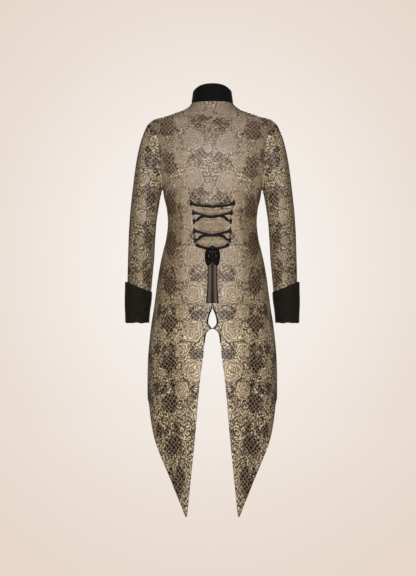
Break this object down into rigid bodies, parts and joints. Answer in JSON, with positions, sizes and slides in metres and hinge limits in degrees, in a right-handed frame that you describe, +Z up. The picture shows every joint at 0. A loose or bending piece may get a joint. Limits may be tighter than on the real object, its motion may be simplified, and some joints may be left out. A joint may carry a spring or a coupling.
{
  "type": "tailcoat",
  "caption": "Tailcoat in patterned cloth, worn shape with no wearer: stand collar, black cuffs, laced back with a bow, centre vent, two pointed tails.",
  "frame": {"origin": "centre of the neck, at the level of the neck seam at the back, where the wearer's neck and shoulders hold the coat", "axes": "+Z up, +Y out of the coat's front, so that the laced back faces -Y, +X to the wearer's right"},
  "size_m": [0.5654, 0.2817, 1.3555],
  "materials": {
    "brocade": "woven",
    "black_cloth": "short nap",
    "satin": "satin",
    "loop_cord": "woven"
  },
  "bodies": {
    "root": {"back_left": "brocade", "back_right": "brocade", "bow_knot": "satin", "bow_loop_left": "satin", "bow_loop_right": "satin", "button_1": "black_cloth", "button_2": "black_cloth", "button_3": "black_cloth", "button_4": "black_cloth", "button_5": "black_cloth", "collar": "black_cloth", "cuff_left": "black_cloth", "cuff_right": "black_cloth", "front_left": "brocade", "front_right": "brocade", "lace_bar": "satin", "lace_end_left": "satin", "lace_end_right": "satin", "lace_loop_1_left": "loop_cord", "lace_loop_1_right": "loop_cord", "lace_loop_2_left": "loop_cord", "lace_loop_2_right": "loop_cord", "lace_loop_3_left": "loop_cord", "lace_loop_3_right": "loop_cord", "lace_loop_4_left": "loop_cord", "lace_loop_4_right": "loop_cord", "lace_loop_5_left": "loop_cord", "lace_loop_5_right": "loop_cord", "lace_lower_over": "satin", "lace_lower_under": "satin", "lace_to_bow_left": "satin", "lace_to_bow_right": "satin", "lace_upper_over": "satin", "lace_upper_under": "satin", "side_left": "brocade", "side_right": "brocade", "sleeve_top_left": "brocade", "sleeve_top_right": "brocade", "sleeve_under_left": "brocade", "sleeve_under_right": "brocade", "vent_bar": "black_cloth", "vent_binding_left": "black_cloth", "vent_binding_right": "black_cloth"}
  },
  "joints": []
}
